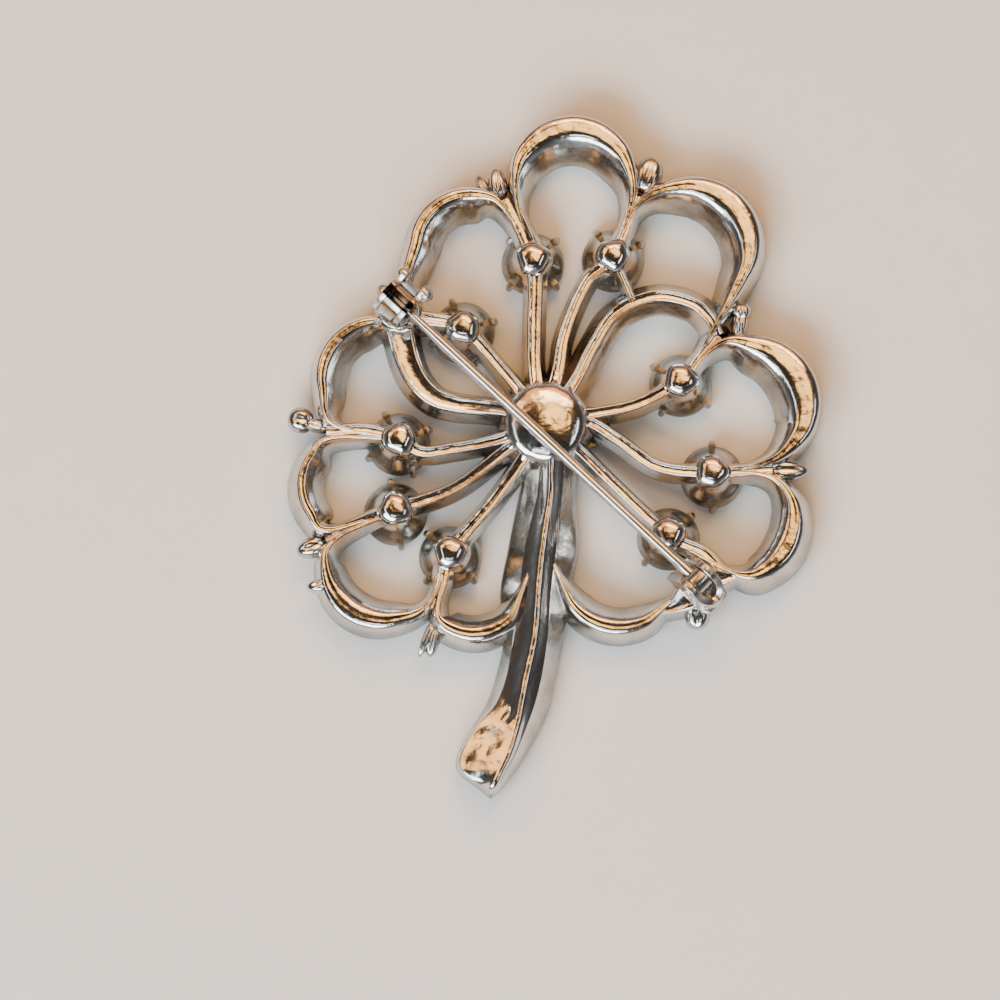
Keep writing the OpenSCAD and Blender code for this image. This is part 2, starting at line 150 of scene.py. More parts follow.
# Buds at the necks: x, y, angle they point at, length, width, height of their
# middle, and how pointed they are, from 0 for an egg to 1 for a leaf
BUDS = [
    (-5.0, 24.1, 100, 2.9, 1.9, 2.5, 0.3), (-6.3, 23.9, 115, 2.2, 1.3, 2.2, 0.4),
    (8.2, 24.9, 72, 3.3, 2.5, 2.4, 0.0), (16.2, 11.7, 82, 3.1, 1.5, 2.4, 0.0),
    (16.35, 12.65, 85, 1.7, 1.7, 2.6, 0.0), (20.35, -1.4, 0, 3.4, 2.6, 2.5, 0.6),
    (12.4, -14.0, 265, 2.8, 2.3, 2.2, 0.0), (-10.6, -16.3, 258, 3.0, 1.5, 2.3, 0.3),
    (-11.2, -16.3, 248, 3.3, 0.9, 2.5, 0.2), (-21.2, -8.2, 196, 2.6, 2.0, 2.4, 0.2),
    (-20.5, -11.7, 185, 2.2, 1.6, 3.1, 0.3), (-22.15, 3.1, 170, 2.3, 2.3, 2.3, 0.0),
    (-20.8, 2.6, 165, 2.4, 1.2, 2.4, 0.0), (-14.8, 14.3, 120, 2.0, 1.3, 2.3, 0.0),
]

# Dents in the trunk's foot: x, y, radius and depth
DENTS = [
    (-3.8, -22.7, 0.3, 0.12), (-4.05, -23.2, 0.34, 0.18), (-4.35, -23.6, 0.3, 0.12),
    (-5.9, -24.9, 1.1, 0.09), (-6.9, -27.6, 0.8, 0.1), (-4.9, -26.4, 0.9, -0.07),
    (-6.2, -26.2, 0.5, 0.06), (-5.2, -25.4, 0.4, 0.05), (-7.6, -26.4, 0.6, -0.06),
]

# The pin: its pivot, the middle of the catch, how far and which way that is from
# the pivot, and how far the pin reaches past it
PIVOT = np.array([12.4, -11.9])
CATCH = np.array([-13.6, 12.7])
PIN_REACH = float(np.linalg.norm(CATCH - PIVOT))
PIN_WAY = (CATCH - PIVOT) / PIN_REACH
PIN_PAST_CATCH = 2.0

# The pad under the joint: x, y, width and height of its top
PAD = [
    (9.0, -14.0, 0.5, 3.7), (10.3, -13.6, 1.1, 3.85), (11.3, -12.9, 2.3, 4.15),
    (12.4, -11.9, 3.2, 4.3), (13.6, -11.3, 2.2, 4.15), (14.8, -11.1, 1.1, 3.9),
    (15.9, -10.9, 0.5, 3.7),
]

# The joint, measured from the pin's pivot: how far it reaches back and
# forward, the middle line and half the thickness of its two walls, the radius
# and half the length of the round top of its ears, and its plate's two faces
JOINT_BACK = 2.5
JOINT_FRONT = 2.4
JOINT_WALL = 1.075
HALF_WALL = 0.325
EAR_RADIUS = 1.4
EAR_HALF = 1.1
PLATE_BOTTOM = -3.1
PLATE_TOP = -2.2

# The catch, measured from the pin's axis: its ring's middle radius, half its
# thickness and half its length, and the top of its block
RING_RADIUS = 1.8
RING_HALF = 0.2
RING_HALF_LENGTH = 0.8
BLOCK_TOP = -1.62

# The collar that turns in the ring: the radius of its bore, of its barrel and
# of its two flanges, half the width of its slot, half the length of its barrel,
# the thickness of a flange, and the distance, angle and radius of its tabs
BORE = 0.65
BARREL = 1.55
FLANGE = 1.85
HALF_SLOT = 0.575
HALF_BARREL = 0.85
FLANGE_THICK = 0.6
TAB_AWAY = 2.25
TAB_ANGLE = math.radians(150)
TAB_RADIUS = 0.65

# Colours of the fittings and of the pin's wire where they are worn
WORN_FITTING = (0.40, 0.37, 0.34)
WORN_WIRE = (0.42, 0.40, 0.38)

# The camera: the angle it looks down at, its distance in metres, the point it
# looks at in mm, and the picture's width there in mm, which is 1000 pixels
ELEVATION = math.radians(80)
DISTANCE = 1.0
LOOK_AT = (-4.75, -4.34, 4.0)
PICTURE_WIDTH = 1000 / 11.5

# Lamps, which all face the brooch: name, place, width and height in metres,
# power and colour
LAMPS = [
    ("warm wall", (0.05, 0.55, 0.60), (0.75, 0.42), 2.4, (1.0, 0.37, 0.11)),
    ("warm window", (0.10, 0.42, 0.62), (0.42, 0.15), 1.9, (1.0, 0.66, 0.28)),
    ("warm ceiling", (0.09, 0.18, 0.64), (0.26, 0.18), 0.7, (1.0, 0.52, 0.15)),
    ("warm corner", (-0.36, 0.29, 0.59), (0.26, 0.28), 0.95, (1.0, 0.50, 0.17)),
    ("cool window", (-0.28, -0.52, 0.50), (0.75, 0.34), 10.5, (0.88, 0.95, 1.0)),
    ("cool ceiling", (-0.06, -0.24, 0.62), (0.20, 0.10), 0.30, (0.84, 0.93, 1.0)),
    ("left strip", (-0.38, -0.06, 0.54), (0.34, 0.06), 0.35, (0.86, 0.95, 1.0)),
    ("right strip", (0.38, -0.04, 0.54), (0.34, 0.06), 0.35, (0.94, 0.97, 1.0)),
]

# Soft glows of the room: direction, how narrow it is, and colour times strength
GLOWS = [
    ((0.1, 0.5, 0.85), 30, (0.30, 0.13, 0.05)),
    ((0.1, 1.0, 0.15), 5, (0.34, 0.15, 0.06)),
    ((-0.2, -0.85, 0.5), 14, (0.5, 0.6, 0.7)),
]


class BroochSizes(PropertyGroup):
    """Sizes of the brooch"""

    crest_z: FloatProperty(name="Crest height", description="Height of the rims' crest",
                           default=4.0 * MM, min=3.6 * MM, max=4.4 * MM, unit="LENGTH")
    front_z: FloatProperty(name="Front height", description="Height of the rims' front edge",
                           default=0.7 * MM, min=0.4 * MM, max=1.0 * MM, unit="LENGTH")
    groove: FloatProperty(name="Groove", description="Depth of the groove along rims and branches",
                          default=0.04 * MM, min=0.0, max=0.5 * MM, unit="LENGTH")
    hub_z: FloatProperty(name="Hub height", description="Height of the top of the hub's dome",
                         default=4.98 * MM, min=4.6 * MM, max=5.2 * MM, unit="LENGTH")
    pin_z: FloatProperty(name="Pin height", description="Height of the pin's axis",
                         default=7.0 * MM, min=6.8 * MM, max=7.4 * MM, unit="LENGTH")
    pin_d: FloatProperty(name="Pin wire", description="Diameter of the pin's wire",
                         default=0.95 * MM, min=0.8 * MM, max=1.1 * MM, unit="LENGTH")


class BroochColours(PropertyGroup):
    """Colours of the brooch's finishes and of the floor"""

    plating: FloatVectorProperty(name="Plating", description="Colour of the silver-coloured plating",
                                 default=(0.66, 0.63, 0.60), subtype="COLOR", min=0, max=1)
    # Painted shade where the casting lies low, mixed with random patches of tarnish
    low_shade_and_tarnish: FloatVectorProperty(name="Shade and tarnish", description="Colour of the plating in its hollows",
                                 default=(0.20, 0.20, 0.18), subtype="COLOR", min=0, max=1)
    steel: FloatVectorProperty(name="Steel", description="Colour of the pin's wire",
                               default=(0.60, 0.58, 0.56), subtype="COLOR", min=0, max=1)
    stone: FloatVectorProperty(name="Stone", description="Colour of the clear stones",
                               default=(0.97, 0.98, 1.0), subtype="COLOR", min=0, max=1)
    floor: FloatVectorProperty(name="Floor", description="Colour of the floor",
                               default=(0.80, 0.79, 0.77), subtype="COLOR", min=0, max=1)


def size(name):
    """One of the brooch's sizes in mm, as set in the panel, which keeps metres."""
    return getattr(bpy.context.scene.brooch_sizes, name) / MM


def colours():
    """The brooch's colours, as set in the panel."""
    return bpy.context.scene.brooch_colours


def smoothed(corners, steps):
    """Closed sections whose corner points are smoothed as a uniform cubic B-spline.

    Each corner is a pair of arrays with one value for each section. With t
    running from 0 to 1 between two corners, the four nearest corners weigh a
    sixth of four cubics of t: the cube of one less t, two that rise and fall
    again, and the cube of t.
    """
    corners = np.stack([np.stack(np.broadcast_arrays(*c), 1) for c in corners], 1)
    t = np.arange(steps) / steps
    weights = np.stack([(1 - t) ** 3, 3 * t ** 3 - 6 * t ** 2 + 4,
                        -3 * t ** 3 + 3 * t ** 2 + 3 * t + 1, t ** 3]) / 6
    near = np.stack([np.roll(corners, 1 - j, axis=1) for j in range(4)])
    return np.einsum("js,jmcd->mcsd", weights, near).reshape(len(corners), -1, 2)


def flowing(rows, steps):
    """Points on a Catmull-Rom curve through the rows, with steps to each span.

    Between two rows the curve is a cubic of t, whose slope at each row is half
    the way from the row before to the row after. Every column flows along, so
    a row may hold a place, widths and a height.
    """
    p = np.asarray(rows, float)
    p = np.vstack([2 * p[0] - p[1], p, 2 * p[-1] - p[-2]])
    a, b, c, d = (p[i:len(p) - 3 + i, None] for i in range(4))
    t = np.linspace(0, 1, steps, endpoint=False)[None, :, None]
    points = (2 * b + (c - a) * t + (2 * a - 5 * b + 4 * c - d) * t ** 2
              + (3 * b - a - 3 * c + d) * t ** 3) / 2
    return np.vstack([points.reshape(-1, p.shape[1]), p[-2]])


def eased(rows, passes):
    """Rounds a path's corners, and keeps its ends.

    Each pass moves every row half the way to the middle of its two neighbours.
    """
    for _ in range(passes):
        rows = np.vstack([rows[:1], (rows[:-2] + 2 * rows[1:-1] + rows[2:]) / 4, rows[-1:]])
    return rows


def swell(a, b, c, t):
    """A value that runs from a through b to c: a straight line plus half a sine wave."""
    return a + (c - a) * t + (b - (a + c) / 2) * np.sin(np.pi * t)


def circle(steps):
    """Angles once round a circle."""
    return np.linspace(0, 2 * np.pi, steps, endpoint=False)


def round_points(r, a):
    """Points at radii and angles from a middle."""
    return np.stack([r * np.cos(a), r * np.sin(a)], -1)


def both_sides(half):
    """Half a profile, followed by its mirror image on the other side of zero."""
    half = np.array(half)
    return np.vstack([half, half[::-1] * [-1, 1]])


def squared(a):
    """Factor on a circle's radius that makes it a superellipse of power six."""
    return (np.abs(np.cos(a)) ** 6 + np.abs(np.sin(a)) ** 6) ** (-1 / 6)


def rounded_edges(low, high, r):
    """Levels from low to high, and how far a side is drawn in at each of them.

    The side follows a quarter circle of radius r at either end.
    """
    q = np.linspace(0, np.pi / 2, 5)
    levels = np.concatenate([low + r * (1 - np.cos(q)), high - r * (1 - np.sin(q))])
    return levels, np.concatenate([r * (1 - np.sin(q)), r * (1 - np.cos(q))])


def left_of(path):
    """The unit way to the left of a path in plan, at each of its points."""
    way = np.gradient(path, axis=0)
    way /= np.linalg.norm(way, axis=1)[:, None]
    return np.stack([-way[:, 1], way[:, 0]], 1)


def outward(verts, quads, caps):
    """Turns the faces over where the volume they hold would be negative."""
    tris = np.vstack([caps, quads[:, :3], quads[:, [0, 2, 3]]])
    v = verts[tris] - verts.mean(0)
    if np.einsum("ij,ij->", v[:, 0], np.cross(v[:, 1], v[:, 2])) < 0:
        return verts, quads[:, ::-1], caps[:, ::-1]
    return verts, quads, caps


def ring_quads(spans, m, p):
    """Quads that join each ring to the next, for so many spans of m rings of p points."""
    i, j = np.meshgrid(np.arange(spans), np.arange(p), indexing="ij")
    a = i * p + j
    b = i * p + (j + 1) % p
    return np.stack([a, b, b + p, a + p], -1).reshape(-1, 4) % (m * p)


def skin(rings):
    """Closed skin over rings of points, as (vertices, quads, triangles).

    Quads join each ring to the next, and a fan closes each end on its middle.
    """
    m, p, _ = rings.shape
    verts = np.vstack([rings.reshape(-1, 3), rings[0].mean(0), rings[-1].mean(0)])
    j = np.arange(p)
    k = (j + 1) % p
    last = (m - 1) * p
    caps = np.vstack([
        np.stack([np.full(p, m * p), k, j], 1),
        np.stack([np.full(p, m * p + 1), last + j, last + k], 1),
    ])
    return outward(verts, ring_quads(m - 1, m, p), caps)


def skin_at(middle, rings):
    """Closed skin over rings that are drawn about a point of the plan."""
    return skin(rings + [*(middle - MIDDLE), 0])


def spun(x, y, z, degrees):
    """Points turned about the upright axis."""
    c, s = math.cos(math.radians(degrees)), math.sin(math.radians(degrees))
    return np.stack([x * c - y * s, x * s + y * c, z], -1)


def flat_skin(rings):
    """Closed skin over rings whose ends are flat, many-sided faces."""
    m, p, _ = rings.shape
    verts, quads, _ = skin(rings)
    turned_over = quads[0, 1] != 1
    first = np.arange(p)
    last = (m - 1) * p + first
    ends = (first, last[::-1]) if turned_over else (first[::-1], last)
    return verts[:-2], quads, ends


def closed_ring(rings):
    """Skin over rings that close on themselves, the last one to the first."""
    m, p, _ = rings.shape
    return outward(rings.reshape(-1, 3), ring_quads(m, m, p), np.zeros((0, 3), int))


def carried(path, section):
    """A section carried along a path in plan.

    path holds x and y, and section, for each point of the path, holds how far
    left of the way each of its points lies, and its height.
    """
    xy = path[:, None] + left_of(path)[:, None] * section[:, :, :1]
    return skin(np.concatenate([xy - MIDDLE, section[:, :, 1:]], 2))


def turned(profile, around, ripple=1):
    """A profile of radius and height turned about the upright axis.

    ripple multiplies the radius. It is one number, or a factor for each point
    of the profile and each angle.
    """
    profile = np.asarray(profile, float)
    a = circle(around)
    r = profile[:, :1] * ripple * np.ones(around)
    z = np.broadcast_to(profile[:, 1:], r.shape)
    return np.stack([r * np.cos(a), r * np.sin(a), z], 2)


def along_pin(points):
    """Carries points from the pin's frame to the model's.

    There x runs from the pivot to the catch, y to its left and z up.
    """
    left = np.array([-PIN_WAY[1], PIN_WAY[0]])
    xy = PIVOT - MIDDLE + points[..., :1] * PIN_WAY + points[..., 1:2] * left
    return np.concatenate([xy, points[..., 2:] + size("pin_z")], -1)


def new_object(name, data):
    """A new object in the scene, at the origin."""
    obj = bpy.data.objects.new(name, data)
    bpy.context.scene.collection.objects.link(obj)
    return obj


def put_in_scene(name, shells, body, slot, crease=50):
    """Joins shells, given in mm, into one object that rides on a body.

    It has its slot's material. Edges sharper than the crease, in degrees, stay
    sharp.
    """
    verts, faces, start = [], [], 0
    for v, quads, caps in shells:
        verts.append(v)
        faces += (quads + start).tolist() + [(cap + start).tolist() for cap in caps]
        start += len(v)
    mesh = bpy.data.meshes.new(name)
    mesh.from_pydata((np.vstack(verts) * MM).tolist(), [], faces)
    mesh.polygons.foreach_set("use_smooth", np.ones(len(mesh.polygons), bool))
    mesh.set_sharp_from_angle(angle=math.radians(crease))
    mesh.update()
    mesh.materials.append(finish(slot))
    obj = new_object(name, mesh)
    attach(obj, body)
    return obj


def feed(tree, node, inputs):
    """Sets a node's inputs: a socket is linked, and any other value is the input's own."""
    for key, value in inputs.items():
        if isinstance(value, bpy.types.NodeSocket):
            tree.links.new(value, node.inputs[key])
        else:
            node.inputs[key].default_value = value


def add_node(tree, kind, inputs, **settings):
    """A new node with its settings and inputs."""
    node = tree.nodes.new(kind)
    for key, value in settings.items():
        setattr(node, key, value)
    feed(tree, node, inputs)
    return node


def noise(tree, place, scale, detail, roughness):
    """Noise from 0 to 1, with scale waves to a metre."""
    inputs = {"Vector": place, "Scale": scale, "Detail": detail, "Roughness": roughness}
    return add_node(tree, "ShaderNodeTexNoise", inputs).outputs["Fac"]


def spread(tree, value, low, high, to_low, to_high):
    """Maps a value from one range to another, and holds it inside."""
    inputs = {"Value": value, "From Min": low, "From Max": high, "To Min": to_low, "To Max": to_high}
    return add_node(tree, "ShaderNodeMapRange", inputs).outputs["Result"]


def combine(tree, operation, a, b):
    """Result of an arithmetic operation on two sockets or numbers."""
    return add_node(tree, "ShaderNodeMath", {0: a, 1: b}, operation=operation).outputs["Value"]


def combine_vectors(tree, operation, a, b):
    """A node that does an operation on two sockets or vectors."""
    return add_node(tree, "ShaderNodeVectorMath", {0: a, 1: b}, operation=operation)


def blend_colours(tree, factor, low, high):
    """A colour that runs from low to high as the factor goes from 0 to 1."""
    inputs = {"Factor": factor, "A": (*low, 1), "B": (*high, 1)}
    return add_node(tree, "ShaderNodeMix", inputs, data_type="RGBA").outputs["Result"]


def upright(tree, place):
    """The upright part of a place or a direction."""
    return add_node(tree, "ShaderNodeSeparateXYZ", {"Vector": place}).outputs["Z"]


def bumps(tree, shader, layers):
    """Stacks bump layers, each a height, a strength and a depth in metres."""
    below = {}
    for height, strength, depth in layers:
        inputs = {"Height": height, "Strength": strength, "Distance": depth, **below}
        below = {"Normal": add_node(tree, "ShaderNodeBump", inputs).outputs["Normal"]}
    feed(tree, shader, below)


def object_place(tree):
    """The place on the object, in metres, that every pattern is drawn from."""
    return tree.nodes.new("ShaderNodeTexCoord").outputs["Object"]


def material(name, roughness=0.2, metallic=1.0):
    """A new material, with its node tree and its Principled shader."""
    mat = bpy.data.materials.new(name)
    mat.use_nodes = True
    tree = mat.node_tree
    shader = tree.nodes["Principled BSDF"]
    feed(tree, shader, {"Metallic": metallic, "Roughness": roughness})
    return mat, tree, shader


def cast_plating(tree, shader):
    """Bright plating over a slightly wavy casting, with painted shade that darkens it where it lies
    low, and random darker patches of tarnish.
    """
    place = object_place(tree)
    # Painted shade: the plating is darkened the lower it lies, from 3.7 mm down to 0.8 mm
    raised = spread(tree, upright(tree, place), 0.8 * MM, 3.7 * MM, 0.0, 1.0)
    # Random patches of tarnish, the plating's own uneven tone
    patchy = spread(tree, noise(tree, place, 420, 4.0, 0.6), 0.35, 0.7, -0.25, 0.2)
    lit_and_clean = spread(tree, combine(tree, "ADD", raised, patchy), 0.0, 1.0, 0.0, 1.0)
    feed(tree, shader, {
        "Base Color": blend_colours(tree, lit_and_clean, colours().low_shade_and_tarnish, colours().plating),
        "Roughness": spread(tree, lit_and_clean, 0.0, 1.0, 0.34, 0.13),
    })
    wavy = noise(tree, place, 520, 2.0, 0.5)
    uneven = noise(tree, place, 1900, 2.0, 0.5)
    pitted = noise(tree, place, 6500, 2.0, 0.6)
    bumps(tree, shader, [(wavy, 0.6, 0.14 * MM), (uneven, 0.4, 0.04 * MM),
                         (pitted, 0.12, 0.02 * MM)])


def fitting_plating(tree, shader):
    """Plated brass of the bought-in fittings, smoother than the casting."""
    place = object_place(tree)
    worn = noise(tree, place, 900, 3.0, 0.6)
    unworn = spread(tree, worn, 0.3, 0.7, 0.0, 1.0)
    feed(tree, shader, {
        "Base Color": blend_colours(tree, unworn, WORN_FITTING, colours().plating),
        "Roughness": spread(tree, worn, 0.3, 0.7, 0.36, 0.2),
    })
    bumps(tree, shader, [(noise(tree, place, 3800, 2.0, 0.5), 0.15, 0.03 * MM)])


def pin_wire(tree, shader):
    """Drawn steel wire, with fine lines along it."""
    turn = {"Vector": object_place(tree), "Rotation": (0, 0, -math.atan2(PIN_WAY[1], PIN_WAY[0]))}
    along = add_node(tree, "ShaderNodeMapping", turn).outputs["Vector"]
    stretched = combine_vectors(tree, "MULTIPLY", along, (0.04, 1.0, 1.0)).outputs["Vector"]
    lines = noise(tree, stretched, 6500, 3.0, 0.6)
    feed(tree, shader, {
        "Base Color": blend_colours(tree, lines, WORN_WIRE, colours().steel),
        "Roughness": spread(tree, lines, 0.3, 0.7, 0.16, 0.28),
    })
    bumps(tree, shader, [(lines, 0.1, 0.02 * MM)])


def cut_stone(tree, shader):
    """Clear cut glass, very slightly scuffed."""
    scuffed = noise(tree, object_place(tree), 2600, 3.0, 0.6)
    feed(tree, shader, {
        "Base Color": (*colours().stone, 1), "Metallic": 0.0, "Transmission Weight": 1.0,
        "IOR": 1.58, "Roughness": spread(tree, scuffed, 0.4, 0.7, 0.01, 0.06),
    })


# The material of each slot: its name, and the function that dresses it
FINISHES = {
    "casting": ("Cast plating", cast_plating),
    "fitting": ("Fitting plating", fitting_plating),
    "pin_wire": ("Pin wire", pin_wire),
    "stone": ("Cut stone", cut_stone),
}


def finish(slot):
    """The material of a slot, made when it is first asked for."""
    name, dress = FINISHES[slot]
    if name not in bpy.data.materials:
        mat, tree, shader = material(name)
        dress(tree, shader)
    return bpy.data.materials[name]


def rim_section(width, inside, outside, top, bottom):
    """Sections of a rim: a low dome with a faint groove along it, and two flanks.

    The groove fades out between a crest of 1.6 mm and one of 2.2 mm.
    """
    h = width / 2
    dip = size("groove") * np.clip((2.2 - width) / 0.6, 0, 1)
    corners = [
        (-0.12 * h, top - dip), (0.12 * h, top - 0.6 * dip), (0.42 * h, top),
        (0.75 * h, top - 0.12), (1.02 * h, top - 0.34), (h + 0.14 + 0.15 * inside, top - 0.75),
        (h + 0.5 * inside, top - 1.4), (h + 0.85 * inside, top - 2.2),
        (h + inside, bottom + 0.6), (h + inside, bottom + 0.15), (h + inside - 0.35, bottom - 0.05),
        (0.3 * h, bottom), (-0.3 * h, bottom), (-h - outside + 0.3, bottom - 0.05),
        (-h - outside, bottom + 0.15), (-h - outside, bottom + 0.7),
        (-h - 0.8 * outside, top - 1.7), (-h - 0.45 * outside, top - 1.0),
        (-h - 0.08 - 0.15 * outside, top - 0.55), (-1.0 * h, top - 0.28),
        (-0.78 * h, top - 0.08), (-0.42 * h, top),
    ]
    return smoothed(corners, 3)


def bar_section(width, flank, top, bottom):
    """Sections of a branch: a crest with a shallow groove and two rounded flanks."""
    h = width / 2
    dip = 3 * size("groove") * np.minimum(1, width)
    tall = top - bottom
    right = [
        (0.5 * h, top - 0.7 * dip), (0.85 * h, top + 0.03), (1.08 * h, top - 0.12),
        (h + 0.3 * flank, top - 0.3 * tall), (h + 0.8 * flank, top - 0.65 * tall),
        (h + flank, bottom + 0.12 * tall), (h + flank - 0.3, bottom),
    ]
    left = [(-x, z) for x, z in right[::-1]]
    return smoothed([(0 * h, top - dip), *right, (0 * h, bottom), *left], 3)


def rim_end(name, centre, width, inside):
    """A rim's end in two rows: in at its cup, thin and low, and out at its neck.

    Both are moved off the line from the neck to the cup, to the side that
    faces the rim's centre.
    """
    neck, inner, apart = NECKS[name]
    neck, inner = np.array(neck), np.array(inner)
    way = (inner - neck) / np.linalg.norm(inner - neck)
    side = np.array([-way[1], way[0]])
    side *= apart * np.sign(side @ (centre - neck))
    top = size("crest_z")
    return [(*(inner + 0.3 * side), 0.45, 0.3, 0.3, top - 0.35),
            (*(neck + side), 0.6 * width, 0.5 * inside, 0.4, top - 0.1)]


def rim(scallop):
    """One scallop: out from a cup to the neck, round the arc, and back in."""
    first, last, x, y, radius, a0, a1, w0, w1, w2, inside, outside = scallop
    centre = np.array([x, y])
    t = np.linspace(0, 1, 12)[1:-1]
    a = np.radians(a0 + (a1 - a0) * t)
    width = swell(w0, w1, w2, t)
    arc = centre + round_points(radius - width / 2, a)
    flanks = np.tile([inside, outside, size("crest_z")], (len(t), 1))
    rows = np.vstack([rim_end(first, centre, w0, inside), np.column_stack([arc, width, flanks]),
                      rim_end(last, centre, w2, inside)[::-1]])
    path = eased(flowing(rows, 7), 16)
    return carried(path[:, :2], rim_section(*path[:, 2:].T, size("front_z")))


class BROOCH_OT_rims(Operator):
    """Make the ten scalloped rims of the canopy"""

    bl_idname = "brooch.rims"
    bl_label = "Rims"

    def execute(self, context):
        shells = [rim(scallop) for scallop in SCALLOPS]
        obj = put_in_scene("casting_rims", shells, BODY, "casting")
        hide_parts("cast_frame")
        return {"FINISHED"}


def near_hub(away):
    """How near the hub's middle a distance is, from 1 at it: a bell curve."""
    return np.exp(-((away / HUB_FLARE) ** 2))


def branch_top(near):
    """Height of a branch's crest, which rises towards the hub."""
    return size("crest_z") - BRANCH_DROP + HUB_RISE * near


def branch(row):
    """One branch, which widens and rises where it leaves the hub.

    Where it crosses a cup, its underside lies on a cone that falls away from
    the cup's middle, so that it stays clear of the stone.
    """
    points, w0, w1, flank = row
    points = flowing(points, 8)
    t = np.linspace(0, 1, len(points))
    near = near_hub(np.linalg.norm(points - HUB, axis=1))
    width = w0 + (w1 - w0) * t + HUB_SWELL * near
    away = np.linalg.norm(points[:, None] - CUPS, axis=2).min(1)
    low = size("front_z") + 0.6
    cone = CONE_TOP - CONE_SLOPE * np.maximum(away - width / 2 - 0.2, 0)
    bottom = np.where(away < CONE_REACH, np.maximum(low, cone), low)
    return carried(points, bar_section(width, flank, branch_top(near), bottom))


class BROOCH_OT_branches(Operator):
    """Make the branches that run from the hub to the rims"""

    bl_idname = "brooch.branches"
    bl_label = "Branches"

    def execute(self, context):
        shells = [branch(row) for row in BRANCHES]
        obj = put_in_scene("casting_branches", shells, BODY, "casting")
        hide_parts("cast_frame")
        return {"FINISHED"}


def hub():
    """The hub: a low dome that flows into the branches.

    Its height is a soft maximum, the logarithm of a sum of exponentials, of a
    dome and of one crest for each branch and for the trunk. The dome falls
    with the square of the radius, and steeply at its edge. A crest falls with
    the square of the way from its line, and sinks into its branch further out.
    The hub's edge reaches further out along a line than between two.
    """
    a = circle(320)
    lines = [flowing(points[:3], 40) for points, *_ in BRANCHES
             if np.linalg.norm(np.array(points[0]) - HUB) < 3]
    down_trunk = flowing([(-0.4, 1.5), (-0.45, -0.5), (-0.5, -2.7)], 40)
    lines.append(down_trunk)
    least = HUB_EDGE + 0.02
    reach = np.full(len(a), least)
    for line in lines:
        way = line[-1] - HUB
        off = (a - math.atan2(way[1], way[0]) + np.pi) % (2 * np.pi) - np.pi
        reach = np.maximum(reach, least + 1.1 * np.exp(-((off / 0.13) ** 2)))
    within = np.concatenate([np.linspace(0.04, 3.2, 20), np.linspace(3.25, HUB_EDGE, 18)])
    beyond = np.linspace(0.1, 1, 10)[:, None]
    r = np.vstack([within[:, None] * np.ones(len(a)), HUB_EDGE + (reach - HUB_EDGE) * beyond])
    x, y = r * np.cos(a), r * np.sin(a)
    crests = [size("hub_z") - 0.043 * r ** 2 - 1.6 * (r / 3.95) ** 14]
    place = np.stack([x + HUB[0], y + HUB[1]], -1)
    sunk = 0.5 * np.clip((r - 3.6) / 1.4, 0, 1)
    for line in lines:
        away = np.linalg.norm(place[..., None, :] - line, axis=-1).min(-1)
        fall = 1.0 * away ** 2 + 5 * np.maximum(away - 0.55, 0) ** 2
        crests.append(branch_top(near_hub(r)) - sunk - fall)
    softness = 0.1
    z = softness * np.log(sum(np.exp(np.maximum(c, -5) / softness) for c in crests))
    top = np.stack([x, y, np.maximum(z, 1.4)], -1)
    under = top[-1:] * [1, 1, 0] + [0, 0, 1.1]
    inner = under * [0.01, 0.01, 1]
    return skin_at(HUB, np.concatenate([top, under, inner]))


class BROOCH_OT_hub(Operator):
    """Make the domed hub where the branches meet"""

    bl_idname = "brooch.hub"
    bl_label = "Hub"

    def execute(self, context):
        obj = put_in_scene("casting_hub", [hub()], BODY, "casting")
        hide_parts("cast_frame")
        return {"FINISHED"}


def trunk():
    """The trunk: a ridge with a broad left flank and two narrow right ones.

    Each dent in its back is a bell curve of the distance from its middle.
    """
    rows = flowing(TRUNK, 8)
    y, left_front, left, ridge, right, right_front, top = rows.T
    low = size("front_z") + 0.1
    fall = np.maximum(0.95, 0.28 * (ridge - left))
    middle = (left_front + right_front) / 2
    corners = [
        (ridge - 0.4, top - 0.13), (ridge - 0.12, top), (ridge + 0.12, top - 0.01),
        (ridge + 0.36, top - 0.15), (ridge + 0.6 * (right - ridge), top - 0.42),
        (right - 0.1, top - 0.62), (right, top - 0.66), (right + 0.06, top - 0.8),
        (right + 0.5 * (right_front - right), top - 1.7), (right_front - 0.02, low + 0.9),
        (right_front, low + 0.3), (right_front - 0.3, low), (middle, low), (left_front + 0.3, low),
        (left_front, low + 0.3), (left_front + 0.02, low + 0.8),
        (left + 0.45 * (left_front - left), top - fall - 0.9), (left - 0.06, top - fall - 0.12),
        (left, top - fall), (left + 0.12, top - fall + 0.04),
        (left + 0.45 * (ridge - left), top - 0.6 * fall),
    ]
    section = smoothed(corners, 4)
    along = np.broadcast_to(y[:, None], section.shape[:2])
    rings = np.stack([section[..., 0], along, section[..., 1]], 2)
    for x, y, radius, depth in DENTS:
        away = (rings[..., 0] - x) ** 2 + (rings[..., 1] - y) ** 2
        upper = np.clip((rings[..., 2] - 2.6) / 0.8, 0, 1)
        rings[..., 2] -= depth * upper * np.exp(-away / radius ** 2)
    return skin_at((0, 0), rings)


class BROOCH_OT_trunk(Operator):
    """Make the trunk with its flared foot"""

    bl_idname = "brooch.trunk"
    bl_label = "Trunk"

    def execute(self, context):
        obj = put_in_scene("casting_trunk", [trunk()], BODY, "casting")
        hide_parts("cast_frame")
        return {"FINISHED"}


